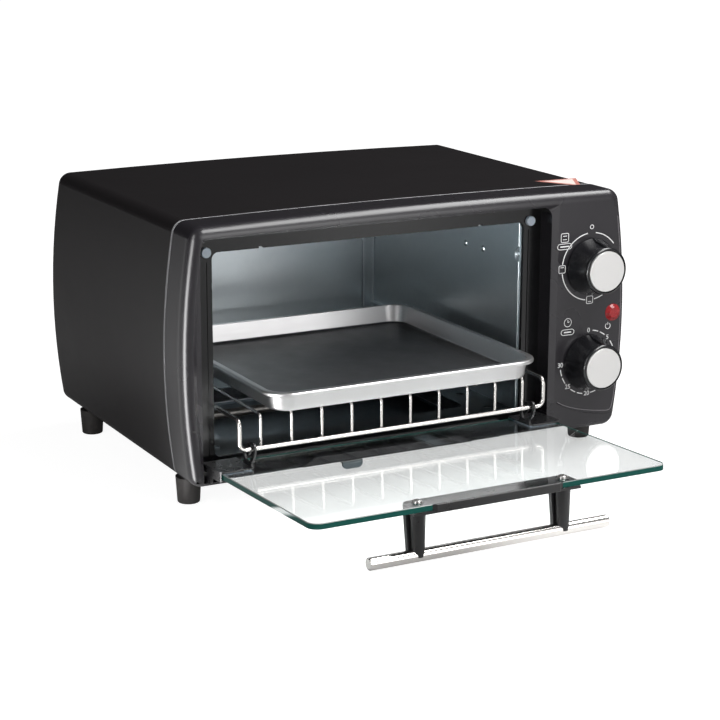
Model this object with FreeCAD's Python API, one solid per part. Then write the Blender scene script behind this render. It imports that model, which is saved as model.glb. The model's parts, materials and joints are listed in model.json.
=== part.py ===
import FreeCAD, Part
import math
import os

# A compact counter-top toaster oven, its glass door lowered onto its stop.
# Units are millimetres.  +Z is up and the front faces -Y.  The origin is on the counter,
# under the middle of the casing and midway between the four feet.

V = FreeCAD.Vector
X_AXIS = V(1, 0, 0)
Y_AXIS = V(0, 1, 0)
Z_AXIS = V(0, 0, 1)

# ---------------------------------------------------------------- driving dimensions
HALF_WIDTH = 183.0          # casing at its widest, halfway up the bulging sides
FRONT_Y = -130.0            # front face of the moulded front frame
BACK_Y = 130.0              # rear edge of the painted wrapper
BASE_Z = 19.0               # underside of the front frame
TOP_Z = 204.6               # crest of the front frame
SIDE_MID_Z = 104.0          # height at which the sides bulge most
BULGE_LOW = 7.0             # how much narrower the casing is at its bottom edge
BULGE_HIGH = 9.4            # and at its top edge
TOP_CROWN = 1.8             # rise of the top between its edges
CORNER_R = 10.0             # rounding of the casing's long edges

FRAME_DEPTH = 33.0          # front frame, front to back
FRAME_WALL = 2.5
RIM = 8.0                   # rounding of the raised rim round the front
DISH = 1.5                  # how far the flat front is set back from the rim
DISH_RAMP = 3.0             # width of the slope down from the rim to the flat front
PANEL_INSET = 4.0           # raised control panel's right edge, in from the casing's outline
PANEL_EDGE = 0.7            # rounding of that panel's edges
PANEL_STEP = 0.9            # how far the front under the panel lies behind it
PANEL_LEFT = 121.0          # panel's left edge
PANEL_LOW_Z = 43.5          # lower end of that edge, where the curved bottom edge starts
SHEET = 0.8                 # painted and plated steel sheet
HEM = 1.8                   # thickness of the wrapper's folded front edge
WRAPPER_INSET = 0.4         # wrapper's outer face inside the frame's
WRAPPER_GAP = 2.4           # shadow gap between the wrapper and the frame

CAVITY_X = -27.0            # middle of the door, the cavity, the rack and the trays
RECESS_HALF = 141.0
RECESS_LOW = 22.5
RECESS_HIGH = 194.0
RECESS_FLOOR_Y = -114.0
APERTURE_HALF = 126.0
APERTURE_LOW = 35.5
APERTURE_HIGH = 181.5
CAVITY_HALF = 128.2
CAVITY_LOW = 34.3
CAVITY_HIGH = 188.0
CAVITY_BACK_Y = 123.0
CAVITY_FRONT_Y = -110.4

HINGE_Y = -123.0            # door's hinge axis, which runs along X
HINGE_Z = 28.0
OPEN_ANGLE = 2.5            # degrees that the lowered door still slopes up
GLASS_HALF = 136.5
GLASS_LENGTH = 165.0
GLASS_LOW = 2.0             # glass faces, measured square to the door from the axis
GLASS_HIGH = 6.0
GLASS_REAR = -1.0           # glass edge nearest the axis, along the door
HINGE_PIN_R = 2.5
LUG_OUT = 143.9             # inner face of the fixed hinge lugs, out from the door's middle
LUG_SHEET = 1.8

POST_SPACING = 112.0
POST_OUT = 154.5            # posts and rod, along the door from the axis
ROD_DROP = -29.8            # rod's middle, square to the door
ROD_R = 4.3
ROD_LENGTH = 185.0
POST_WEB = 3.4              # thickness of the flat web behind each post's round column
HANDLE_LOW = 0.0            # underside of the handle's bar, square to the door from the axis
HANDLE_SCREW_HEAD_R = 3.2

RACK_HALF = 123.0
RACK_FRONT_Y = -150.0
RACK_REAR_Y = 73.0
RACK_Z = 71.0               # middle of the rack's frame wire
RACK_DROP_Z = 50.0          # middle of its lower front bar
FRAME_WIRE_R = 1.5
CROSS_WIRE_R = 1.35
GRID_WIRE_R = 1.1
RACK_TRAVEL = 46.0          # how far the closing door pushes the rack in

TRAY_X = -21.4              # middle of the baking tray, which stands a little to the right
TRAY_HALF = 109.7
TRAY_FRONT_Y = -162.0
TRAY_BACK_Y = 48.2
TRAY_LOW = 74.2
TRAY_HIGH = 89.0

KNOB_X = 148.8
KNOB_HEIGHTS = {"function": 146.3, "timer": 72.4}
KNOB_BASE_R = 21.5
KNOB_RING_R = 17.5
KNOB_DISC_R = 15.15
KNOB_LENGTH = 21.5
SHAFT_R = 3.0
RUNNING_GAP = 0.06          # radial clearance of a shaft or pin in its bore

SPIGOT_INNER = 4.2          # inner face of the frame's spigot, in from the casing's outline
LAMP_X = 170.2
LAMP_Z = 108.9
FOOT_X = 165.7
FOOT_Y = 96.2
FOOT_R = 9.2
FOOT_TIP_R = 8.0
FOOT_SCREW_R = 2.0

PLATE_Y = -111.3            # front face of the steel front plate
PARTS = {}


# upper face of the wrapper's bottom flanges, on which the bottom pan lies
SHEET_FLOOR_Z = BASE_Z + WRAPPER_INSET + SHEET


# ---------------------------------------------------------------- shape helpers
def box(x0, x1, y0, y1, z0, z1):
    return Part.makeBox(x1 - x0, y1 - y0, z1 - z0, V(x0, y0, z0))


def cylinder(start, axis, radius, length):
    return Part.makeCylinder(radius, length, start, axis)


def fuse(shapes):
    first, rest = shapes[0], shapes[1:]
    return first.multiFuse(rest).removeSplitter() if rest else first


def fillet(shape, radius, wanted):
    """Round every edge of shape that wanted(edge) accepts."""
    return shape.makeFillet(radius, [e for e in shape.Edges if wanted(e)])


def along(edge, axis):
    """True if edge is straight and parallel to axis."""
    if len(edge.Vertexes) != 2:
        return False
    span = edge.Vertexes[1].Point - edge.Vertexes[0].Point
    return span.Length > 1e-6 and abs(span.normalize().dot(axis)) > 0.999


def edge_at(edge, axis, value):
    """True if the whole edge lies at this value along axis ("x", "y" or "z")."""
    low = getattr(edge.BoundBox, axis.upper() + "Min")
    high = getattr(edge.BoundBox, axis.upper() + "Max")
    return abs(low - value) < 0.01 and abs(high - value) < 0.01


def rounded_window(x0, x1, z0, z1, radius, y0, y1):
    """A block along Y with its four long edges rounded."""
    return fillet(box(x0, x1, y0, y1, z0, z1), radius, lambda e: along(e, Y_AXIS))


def rounded_slab(x0, x1, y0, y1, z0, z1, radius):
    """A flat block with its four upright edges rounded."""
    return fillet(box(x0, x1, y0, y1, z0, z1), radius, lambda e: along(e, Z_AXIS))


def prism(points, direction):
    """The polygon through these points, swept straight."""
    return Part.Face(Part.makePolygon(points + points[:1])).extrude(direction)


def bent_rod(points, radius, bend):
    """A round rod through these points, with a bend at each inner one."""
    edges = []
    start = points[0]
    for before, corner, after in zip(points, points[1:], points[2:]):
        into = (corner - before).normalize()
        out = (after - corner).normalize()
        turn = into.getAngle(out)
        reach = bend * math.tan(turn / 2)
        first = corner - into * reach
        last = corner + out * reach
        inward = (out - into).normalize()
        middle = corner + inward * (bend / math.cos(turn / 2) - bend)
        edges.append(Part.LineSegment(start, first).toShape())
        edges.append(Part.Arc(first, middle, last).toShape())
        start = last
    edges.append(Part.LineSegment(start, points[-1]).toShape())
    path = Part.Wire(edges)
    heading = (points[1] - points[0]).normalize()
    section = Part.Wire([Part.makeCircle(radius, points[0], heading)])
    return path.makePipeShell([section], True, True)


def barrel_wire(inset, y):
    """The casing's outline at y: bulging sides, a crowned top and rounded corners."""
    low_x = HALF_WIDTH - BULGE_LOW
    high_x = HALF_WIDTH - BULGE_HIGH
    shoulder = TOP_Z - TOP_CROWN
    right_low, right_high = V(low_x, y, BASE_Z), V(high_x, y, shoulder)
    left_low, left_high = V(-low_x, y, BASE_Z), V(-high_x, y, shoulder)
    outline = Part.Wire([
        Part.LineSegment(left_low, right_low).toShape(),
        Part.Arc(right_low, V(HALF_WIDTH, y, SIDE_MID_Z), right_high).toShape(),
        Part.Arc(right_high, V(0, y, TOP_Z), left_high).toShape(),
        Part.Arc(left_high, V(-HALF_WIDTH, y, SIDE_MID_Z), left_low).toShape(),
    ])
    corner = max(CORNER_R - inset, 2.5)
    return outline.makeOffset2D(-(inset + corner)).makeOffset2D(corner)


def barrel(y0, y1, inset=0.0):
    return Part.Face(barrel_wire(inset, y0)).extrude(V(0, y1 - y0, 0))


def barrel_ring(y0, y1, outer, inner):
    return barrel(y0, y1, outer).cut(barrel(y0 - 1, y1 + 1, inner))


def mirrored(shape):
    """The same piece on the other side of the door's middle plane."""
    return shape.mirror(V(CAVITY_X, 0, 0), X_AXIS)


def keep(name, shape):
    PARTS[name] = shape


# ---------------------------------------------------------------- casing
def make_outer_shell():
    """Painted sheet over the top and both sides, turned in under the bottom edges."""
    flange_x = 158.0
    hem_width = 3.0
    front = FRONT_Y + FRAME_DEPTH
    skin = barrel_ring(front, BACK_Y, WRAPPER_INSET, WRAPPER_INSET + SHEET)
    hem = barrel_ring(front, front + hem_width, WRAPPER_INSET, WRAPPER_INSET + HEM)
    shell = fuse([skin, hem])
    shell = fillet(shell, HEM * 0.45, lambda e: edge_at(e, "y", front))
    opening = box(-flange_x, flange_x, front - 1, BACK_Y + 1, BASE_Z - 2, BASE_Z + 6)
    keep("outer_shell", shell.cut(opening).cut(foot_screw_holes()))


def recess_block(grow, y0, y1):
    """The door recess: well rounded at the top, nearly square at the bottom."""
    block = box(CAVITY_X - RECESS_HALF - grow, CAVITY_X + RECESS_HALF + grow, y0, y1,
                RECESS_LOW - grow, RECESS_HIGH + grow)
    block = fillet(block, 8.0 + grow, lambda e: along(e, Y_AXIS) and e.BoundBox.ZMin > SIDE_MID_Z)
    return fillet(block, 1.0 + grow, lambda e: along(e, Y_AXIS) and e.BoundBox.ZMax < SIDE_MID_Z)


def aperture_block(y0, y1):
    return rounded_window(
        CAVITY_X - APERTURE_HALF, CAVITY_X + APERTURE_HALF,
        APERTURE_LOW, APERTURE_HIGH, 5.0, y0, y1)


def dished_front():
    """The shallow dish that leaves a raised rim; it ramps up to the control panel."""
    panel_x = 119.5
    ramp = 6.5
    deep = FRONT_Y + DISH
    crest = 0.4
    over = 0.3
    slope = DISH_RAMP / DISH
    dish = Part.makeLoft([barrel_wire(RIM + crest - over * slope, FRONT_Y - over),
                          barrel_wire(RIM + crest + DISH_RAMP, deep)], True, True)
    keep_left = prism([
        V(-200, FRONT_Y - 1, 0), V(panel_x + 1, FRONT_Y - 1, 0), V(panel_x, FRONT_Y, 0),
        V(panel_x - ramp, deep, 0), V(-200, deep, 0)], V(0, 0, 260))
    return dish.common(keep_left)


def below_panel():
    """The front face under the control panel, which lies lower than the panel."""
    return box(PANEL_LEFT - 6, HALF_WIDTH, FRONT_Y - 1, FRONT_Y + PANEL_STEP, BASE_Z - 1, PANEL_LOW_Z)


def control_panel():
    """The raised panel behind the knobs: its lower edge curves and its right edge is near the rim."""
    top, depth = 190.0, 6.0
    start, low_end = V(PANEL_LEFT, 0, PANEL_LOW_Z), V(178, 0, 29.4)
    outline = Part.Wire([
        Part.Arc(start, V(146, 0, 33.0), low_end).toShape(),
        Part.makePolygon([low_end, V(190, 0, 29.4), V(190, 0, top), V(PANEL_LEFT, 0, top), start]),
    ])
    block = Part.Face(outline).extrude(V(0, depth, 0))
    block.translate(V(0, FRONT_Y, 0))
    panel = block.common(barrel(FRONT_Y, FRONT_Y + depth, PANEL_INSET))
    panel = fillet(panel, 6.0, lambda e: along(e, Y_AXIS) and e.BoundBox.XMin > 160
                   and e.BoundBox.ZMax < 45)
    return fillet(panel, PANEL_EDGE, lambda e: edge_at(e, "y", FRONT_Y)
                  and e.BoundBox.XMax > PANEL_LEFT + 1 and e.BoundBox.ZMin < top - 8)


def bottom_lip():
    """The raised strip along the middle of the frame's lower edge, rounded along its top."""
    crest = RECESS_LOW + 4.2
    left, right, slant = -81.0, 37.5, 12.0
    lip = prism([V(left - slant, 0, RECESS_LOW - 2), V(left, 0, crest), V(right, 0, crest),
                 V(right + slant, 0, RECESS_LOW - 2)], V(0, 3.4, 0))
    lip.translate(V(0, FRONT_Y + 0.3, 0))
    return fillet(lip, 1.5, lambda e: edge_at(e, "y", FRONT_Y + 0.3) and e.BoundBox.ZMax > crest - 0.1)


def frame_spigot(back):
    """The ring at the back of the frame that reaches inside the wrapper."""
    outside = WRAPPER_INSET + HEM + 0.3
    step = barrel(back - 5, back, FRAME_WALL - 0.5)
    step = step.fuse(barrel(back, back + WRAPPER_GAP + 4.0, outside))
    return step.cut(barrel(back - 6, back + WRAPPER_GAP + 5, SPIGOT_INNER))


def make_front_bezel():
    """The moulded front frame: rim, control panel, door recess and bottom lip."""
    back = FRONT_Y + FRAME_DEPTH - WRAPPER_GAP
    floor_back = RECESS_FLOOR_Y + FRAME_WALL
    body = barrel(FRONT_Y, back)
    body = fillet(body, RIM, lambda e: edge_at(e, "y", FRONT_Y))
    body = fillet(body, 0.8, lambda e: edge_at(e, "y", back))
    body = body.cut(dished_front()).cut(below_panel()).fuse(control_panel())
    body = body.cut(recess_block(0.0, FRONT_Y - 2, RECESS_FLOOR_Y))
    hollow = barrel(FRONT_Y + RIM, back + 1, FRAME_WALL)
    hollow = hollow.fuse(barrel(FRONT_Y + DISH + FRAME_WALL, FRONT_Y + RIM + 1, RIM + 1.5))
    hollow = hollow.cut(recess_block(FRAME_WALL, FRONT_Y - 2, floor_back))
    body = body.cut(hollow)
    ledge = box(CAVITY_X - 107, CAVITY_X + 107,
                RECESS_FLOOR_Y - 1.5, RECESS_FLOOR_Y + 1, RECESS_LOW - 1, RECESS_LOW + 4.5)
    body = fuse([body, frame_spigot(back), bottom_lip(), ledge])
    body = body.cut(aperture_block(RECESS_FLOOR_Y - 2, floor_back + 1))
    cuts = []
    for side in (-1, 1):
        notch = CAVITY_X + side * 88.5
        cuts.append(box(notch - 1.8, notch + 1.8, RECESS_FLOOR_Y - 1, floor_back + 1,
                        APERTURE_HIGH - 1, APERTURE_HIGH + 1.2))
        line = CAVITY_X + side * (APERTURE_HALF + 4)
        cuts.append(box(line - 0.4, line + 0.4, RECESS_FLOOR_Y - 1, RECESS_FLOOR_Y + 0.6,
                        APERTURE_LOW, APERTURE_HIGH - 6))
        wall = CAVITY_X + side * (RECESS_HALF + FRAME_WALL / 2)
        cuts.append(cylinder(V(wall - 4.5, HINGE_Y, HINGE_Z), X_AXIS, 4.0, 9))
        cuts.append(lug_room(side))
    for height in KNOB_HEIGHTS.values():
        cuts.append(cylinder(V(KNOB_X, FRONT_Y - 2, height), Y_AXIS, SHAFT_R + 1, 12))
    cuts.append(cylinder(V(LAMP_X, FRONT_Y - 2, LAMP_Z), Y_AXIS, 5.6, 22))
    cuts.append(cylinder(V(LAMP_X, FRONT_Y - 2, LAMP_Z), Y_AXIS, 6.8, 3.2))
    keep("front_bezel", body.cut(Part.makeCompound(cuts)).cut(foot_screw_holes()))


def lug_room(side):
    """Clearance in the frame's corner for the fixed hinge lug on this side."""
    half = LUG_SHEET / 2 + 0.3
    middle = lug_middle(side)
    return box(middle - half, middle + half, HINGE_Y - 5.5, PLATE_Y + 1, HINGE_Z - 5.2, HINGE_Z + 8.4)


def lug_middle(side):
    """X of the middle of the fixed hinge lug on this side (-1 left, 1 right)."""
    return CAVITY_X + side * (LUG_OUT + LUG_SHEET / 2)


def make_front_plate():
    """Steel plate behind the front frame that carries the cavity and the controls."""
    plate = barrel(PLATE_Y, PLATE_Y + SHEET, SPIGOT_INNER + 0.2)
    plate = plate.cut(aperture_block(PLATE_Y - 1, PLATE_Y + 2))
    for height in KNOB_HEIGHTS.values():
        plate = plate.cut(cylinder(V(KNOB_X, PLATE_Y - 1, height), Y_AXIS, 5.2, 4))
    plate = plate.cut(cylinder(V(LAMP_X, PLATE_Y - 1, LAMP_Z), Y_AXIS, 3.0, 4))
    slot_half = LUG_SHEET / 2 + 0.1
    for side in (-1, 1):
        middle = lug_middle(side)
        plate = plate.cut(box(middle - slot_half, middle + slot_half, PLATE_Y - 1, PLATE_Y + 2,
                              HINGE_Z - 3.1, HINGE_Z + 6.1))
    keep("front_plate", plate)


def make_bottom_pan():
    """Bottom sheet, resting on the wrapper's flanges, with a window over the crumb tray."""
    low = SHEET_FLOOR_Z
    pan = box(-166, 166, -91, 126.5, low, low + SHEET)
    pan = pan.cut(rounded_slab(CAVITY_X - 106, CAVITY_X + 106, -84, 62, low - 1, low + 2, 6))
    for row in range(6):
        y = -40 + row * 22
        pan = pan.cut(rounded_slab(118, 158, y, y + 4, low - 1, low + 2, 1.9))
    keep("bottom_pan", pan.cut(foot_screw_holes()))


def make_back_panel():
    """Rear sheet with two banks of louvre slots and a hole for the mains lead's gland."""
    y0 = BACK_Y - 2.6
    panel = barrel(y0, y0 + SHEET, WRAPPER_INSET + SHEET + 0.3)
    panel = panel.cut(box(-200, 200, y0 - 1, y0 + 2, 0, BASE_Z + 4.5))
    for bank_x, count in ((-118, 9), (88, 6)):
        for row in range(count):
            z = 58 + row * 14
            slot = rounded_window(bank_x, bank_x + 62, z, z + 4, 1.9, y0 - 1, y0 + 2)
            panel = panel.cut(slot)
    panel = panel.cut(cylinder(V(GLAND_X, y0 - 1, GLAND_Z), Y_AXIS, 6.6, 3))
    for x, z in BACK_SCREWS:
        panel = panel.cut(cylinder(V(x, y0 - 1, z), Y_AXIS, 1.7, 3))
    keep("back_panel", panel)


GLAND_X = 140.0
GLAND_Z = 46.0
BACK_SCREWS = [(-150, 40), (-150, 180), (0, 192), (150, 180), (0, 32)]


def make_cord_gland():
    """Snap-in bushing where the mains lead would pass through the back."""
    y0 = BACK_Y - 2.6
    sleeve = cylinder(V(GLAND_X, y0 - 5, GLAND_Z), Y_AXIS, 6.4, 5 + SHEET + 0.1)
    collar = cylinder(V(GLAND_X, y0 + SHEET + 0.1, GLAND_Z), Y_AXIS, 9.0, 2.4)
    collar = fillet(collar, 0.8, lambda e: edge_at(e, "y", y0 + SHEET + 2.5))
    bore = cylinder(V(GLAND_X, y0 - 6, GLAND_Z), Y_AXIS, 4.0, 14)
    keep("cord_gland", fuse([sleeve, collar]).cut(bore))


def make_back_screws():
    y0 = BACK_Y - 2.6 + SHEET
    screws = []
    for x, z in BACK_SCREWS:
        head = cylinder(V(x, y0, z), Y_AXIS, 3.2, 1.6)
        head = fillet(head, 0.6, lambda e: edge_at(e, "y", y0 + 1.6))
        shank = cylinder(V(x, y0 - 4, z), Y_AXIS, 1.5, 4)
        slot = box(x - 2.4, x + 2.4, y0 + 0.9, y0 + 2, z - 0.4, z + 0.4)
        cross = box(x - 0.4, x + 0.4, y0 + 0.9, y0 + 2, z - 2.4, z + 2.4)
        screws.append(fuse([head, shank]).cut(slot).cut(cross))
    keep("back_screws", Part.makeCompound(screws))


def foot_screw_holes():
    """Clearance holes through whatever the four foot screws pass through."""
    return Part.makeCompound([
        cylinder(V(sx * FOOT_X, sy * FOOT_Y, BASE_Z - 3), Z_AXIS, FOOT_SCREW_R + 0.2, 10)
        for sx in (-1, 1) for sy in (-1, 1)])


def make_feet():
    """Four tapered rubber feet, each with a pocket for its screw."""
    top = BASE_Z + WRAPPER_INSET - 0.05
    names = {(-1, -1): "front_left", (1, -1): "front_right",
             (-1, 1): "rear_left", (1, 1): "rear_right"}
    screws = []
    for (sx, sy), name in names.items():
        x, y = sx * FOOT_X, sy * FOOT_Y
        cone = Part.makeCone(FOOT_TIP_R, FOOT_R, top, V(x, y, 0))
        cone = fillet(cone, 1.2, lambda e: edge_at(e, "z", 0))
        pocket = cylinder(V(x, y, -1), Z_AXIS, 4.0, 13)
        hole = cylinder(V(x, y, 5), Z_AXIS, 2.1, 20)
        step = box(x - 20, x + 20, -200, FRONT_Y + FRAME_DEPTH - 0.1, BASE_Z - 0.05, top + 1)
        keep("foot_" + name, cone.cut(pocket).cut(hole).cut(step))
        head = cylinder(V(x, y, 9.6), Z_AXIS, 3.6, 2.3)
        shank = cylinder(V(x, y, 11.8), Z_AXIS, FOOT_SCREW_R, 12.2)
        screws.append(fuse([head, shank]))
    keep("foot_screws", Part.makeCompound(screws))


# ---------------------------------------------------------------- cavity
def cavity_side():
    """Left wall of the cavity, with the channel that guides the rack's frame wire."""
    wall_x = CAVITY_X - CAVITY_HALF
    wall = box(wall_x - 0.6, wall_x, CAVITY_FRONT_Y, CAVITY_BACK_Y + 0.6,
               CAVITY_LOW - 0.6, CAVITY_HIGH + 0.6)
    edge = CAVITY_X - RACK_HALF + 0.4
    under = RACK_Z - FRAME_WIRE_R - 0.3
    over = RACK_Z + FRAME_WIRE_R + 0.6
    lower = box(wall_x - 0.3, edge, CAVITY_FRONT_Y + 12.5, CAVITY_BACK_Y - 2, under - 1.8, under)
    upper = box(wall_x - 0.3, edge, CAVITY_FRONT_Y + 30, CAVITY_BACK_Y - 2, over, over + 1.2)
    upper = upper.cut(box(edge - 0.7, edge + 1, -200, 200, over - 1, over + 3))
    side = fuse([wall, lower, upper] + rear_flange(wall_x) + front_hem(wall_x) + dimples(wall_x))
    for y, z in HEATERS.values():
        side = side.cut(cylinder(V(wall_x - 2, y, z), X_AXIS, 4.5, 4))
    return side


def rear_flange(wall_x):
    """The wall's rear flange over the back sheet, with a rounded bead at each edge."""
    width = 10.0
    low, height = CAVITY_LOW + 0.3, CAVITY_HIGH - CAVITY_LOW - 0.6
    strip = box(wall_x - 0.3, wall_x + width, CAVITY_BACK_Y - 0.8, CAVITY_BACK_Y - 0.1,
                low, low + height)
    beads = []
    for x, radius in ((wall_x + width, 1.4), (wall_x + 0.9, 0.9)):
        bead = cylinder(V(x, CAVITY_BACK_Y - 0.5, low), Z_AXIS, radius, height)
        beads.append(bead.common(box(x - 3, x + 3, CAVITY_BACK_Y - 5, CAVITY_BACK_Y - 0.1,
                                     low, low + height)))
    return [strip] + beads


def front_hem(wall_x):
    """The wall's folded front edge, with a half-round lug that carries a small rivet."""
    front = CAVITY_FRONT_Y + 3.0
    hem = box(wall_x - 0.3, wall_x + 1.9, front, front + 1.6, CAVITY_LOW + 2, CAVITY_HIGH - 2)
    hem = fillet(hem, 0.5, lambda e: along(e, Z_AXIS) and e.BoundBox.XMin > wall_x + 1)
    lug = cylinder(V(wall_x - 0.6, front, 156), Y_AXIS, 6.0, 1.2)
    lug = lug.common(box(wall_x - 0.3, wall_x + 8, front - 1, front + 3, 140, 170))
    rivet = Part.makeSphere(1.9, V(wall_x + 2.9, front + 0.5, 156))
    return [hem, lug, rivet]


def dimples(wall_x):
    """Two small domes pressed inwards near the top of the wall."""
    domes = []
    for y in (-53.6, -27.5):
        dome = Part.makeSphere(3.0, V(wall_x - 1.6, y, 150.4))
        domes.append(dome.common(box(wall_x - 0.3, wall_x + 5, y - 5, y + 5, 140, 160)))
    return domes


HEATERS = {
    "heater_upper_front": (-46.0, 177.0),
    "heater_upper_rear": (62.0, 177.0),
    "heater_lower_front": (-46.0, 45.0),
    "heater_lower_rear": (62.0, 45.0),
}


def make_cavity():
    keep("cavity_side_left", cavity_side())
    keep("cavity_side_right", mirrored(cavity_side()))
    left = CAVITY_X - CAVITY_HALF
    right = CAVITY_X + CAVITY_HALF
    roof = box(left, right, CAVITY_FRONT_Y, CAVITY_BACK_Y, CAVITY_HIGH, CAVITY_HIGH + 0.6)
    rib = box(left + 40, right - 40, -20, 40, CAVITY_HIGH, CAVITY_HIGH + 2.0)
    rib_inside = box(left + 41, right - 41, -19, 39, CAVITY_HIGH - 1, CAVITY_HIGH + 1.2)
    keep("cavity_roof", fuse([roof, rib]).cut(rib_inside))
    back = box(left, right, CAVITY_BACK_Y, CAVITY_BACK_Y + 0.6, CAVITY_LOW, CAVITY_HIGH)
    keep("cavity_back", back)
    floor = box(left, right, CAVITY_FRONT_Y, CAVITY_BACK_Y, CAVITY_LOW - 0.6, CAVITY_LOW)
    window = rounded_slab(CAVITY_X - 100, CAVITY_X + 100, -78, 56,
                          CAVITY_LOW - 2, CAVITY_LOW + 2, 8)
    floor = floor.cut(window)
    for side in (-1, 1):
        for step in range(5):
            x = CAVITY_X + side * 114
            y = -88 + step * 42
            floor = floor.cut(cylinder(V(x, y, CAVITY_LOW - 2), Z_AXIS, 3.2, 4))
    keep("cavity_floor", floor)


def make_heat_shield():
    """Sheet between the hot cavity wall and the control compartment."""
    x0 = CAVITY_X + CAVITY_HALF + 5.0
    shield = box(x0, x0 + 0.6, CAVITY_FRONT_Y + 0.1, CAVITY_BACK_Y, 24, 196)
    for y, z in HEATERS.values():
        shield = shield.cut(cylinder(V(x0 - 1, y, z), X_AXIS, 5.0, 3))
    for row in range(4):
        slot = box(x0 - 1, x0 + 2, 84, 112, 70 + row * 18, 76 + row * 18)
        shield = shield.cut(slot)
    keep("heat_shield", shield)


def make_heaters():
    """Four straight sheathed elements in ceramic bushings."""
    reach = CAVITY_HALF + 9.0
    bushings = []
    for name, (y, z) in HEATERS.items():
        sheath = cylinder(V(CAVITY_X - reach, y, z), X_AXIS, 3.25, 2 * reach)
        studs = cylinder(V(CAVITY_X - reach - 6, y, z), X_AXIS, 1.4, 2 * reach + 12)
        keep(name, fuse([sheath, studs]))
        for side in (-1, 1):
            wall = CAVITY_X + side * CAVITY_HALF
            sleeve = cylinder(V(wall - 3.4, y, z), X_AXIS, 4.3, 6.8)
            collar_x = wall + 0.1 if side < 0 else wall - 1.7
            collar = cylinder(V(collar_x, y, z), X_AXIS, 6.0, 1.6)
            bore = cylinder(V(wall - 5, y, z), X_AXIS, 3.4, 10)
            bushings.append(fuse([sleeve, collar]).cut(bore))
    keep("heater_bushings", Part.makeCompound(bushings))


# ---------------------------------------------------------------- controls
def knob_shape(z):
    """A flared skirt that narrows to a rounded front ring with a shallow well."""
    y0 = FRONT_Y - 0.5
    front = FRONT_Y - KNOB_LENGTH
    well = 1.6
    profile = Part.Wire([
        Part.makePolygon([V(0, y0, 0), V(KNOB_BASE_R, y0, 0), V(KNOB_BASE_R, y0 - 1.6, 0)]),
        Part.Arc(V(KNOB_BASE_R, y0 - 1.6, 0), V(18.9, y0 - 8.5, 0),
                 V(KNOB_RING_R + 0.3, front + 2.2, 0)).toShape(),
        Part.Arc(V(KNOB_RING_R + 0.3, front + 2.2, 0), V(KNOB_RING_R - 0.3, front + 0.6, 0),
                 V(KNOB_RING_R - 1.0, front, 0)).toShape(),
        Part.makePolygon([
            V(KNOB_RING_R - 1.0, front, 0), V(KNOB_DISC_R + 0.9, front, 0),
            V(KNOB_DISC_R + 0.9, front + well, 0), V(0, front + well, 0), V(0, y0, 0)]),
    ])
    body = Part.Face(profile).revolve(V(0, 0, 0), Y_AXIS, 360)
    pointer = prism([V(-0.7, y0 - 0.6, KNOB_BASE_R - 1.5), V(0.7, y0 - 0.6, KNOB_BASE_R - 1.5),
                     V(0.5, front + 1.4, KNOB_RING_R - 1.4), V(-0.5, front + 1.4, KNOB_RING_R - 1.4)],
                    V(0, 0, 1.9))
    socket = cylinder(V(0, y0 + 1, 0), V(0, -1, 0), SHAFT_R + 0.02, 15)
    inside = cylinder(V(0, y0 + 1, 0), V(0, -1, 0), 15.5, 9)
    stem = cylinder(V(0, y0, 0), V(0, -1, 0), 6.0, 16)
    shape = fuse([body.cut(inside), stem, pointer]).cut(socket)
    shape.translate(V(KNOB_X, 0, z))
    return shape


def make_knobs():
    for name, z in KNOB_HEIGHTS.items():
        keep(name + "_knob", knob_shape(z))
        front = FRONT_Y - KNOB_LENGTH
        disc = cylinder(V(KNOB_X, front - 0.4, z), Y_AXIS, KNOB_DISC_R, 1.95)
        disc = fillet(disc, 0.5, lambda e, y=front - 0.4: edge_at(e, "y", y))
        keep(name + "_knob_disc", disc)
        depth = 14.0
        shaft = cylinder(V(KNOB_X, FRONT_Y - 14.3, z), Y_AXIS, SHAFT_R, 14.3 + 20 + depth)
        flat = box(KNOB_X - 4, KNOB_X + 4, FRONT_Y - 15, FRONT_Y - 5, z - 4, z - 1.9)
        keep(name + "_shaft", shaft.cut(flat))


def make_function_switch():
    z = KNOB_HEIGHTS["function"]
    y0 = PLATE_Y + SHEET + 0.1
    case = box(KNOB_X - 16, KNOB_X + 16, y0, y0 + 20, z - 16, z + 16)
    case = fillet(case, 2.0, lambda e: along(e, Y_AXIS))
    bush = cylinder(V(KNOB_X, y0 - 4, z), Y_AXIS, 5.0, 5)
    bore = cylinder(V(KNOB_X, y0 - 5, z), Y_AXIS, SHAFT_R + RUNNING_GAP, 21.5)
    lugs = [box(KNOB_X - 10 + i * 9, KNOB_X - 6 + i * 9, y0 + 20, y0 + 27, z - 0.4, z + 0.4)
            for i in range(3)]
    keep("function_switch", fuse([case, bush] + lugs).cut(bore))


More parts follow.
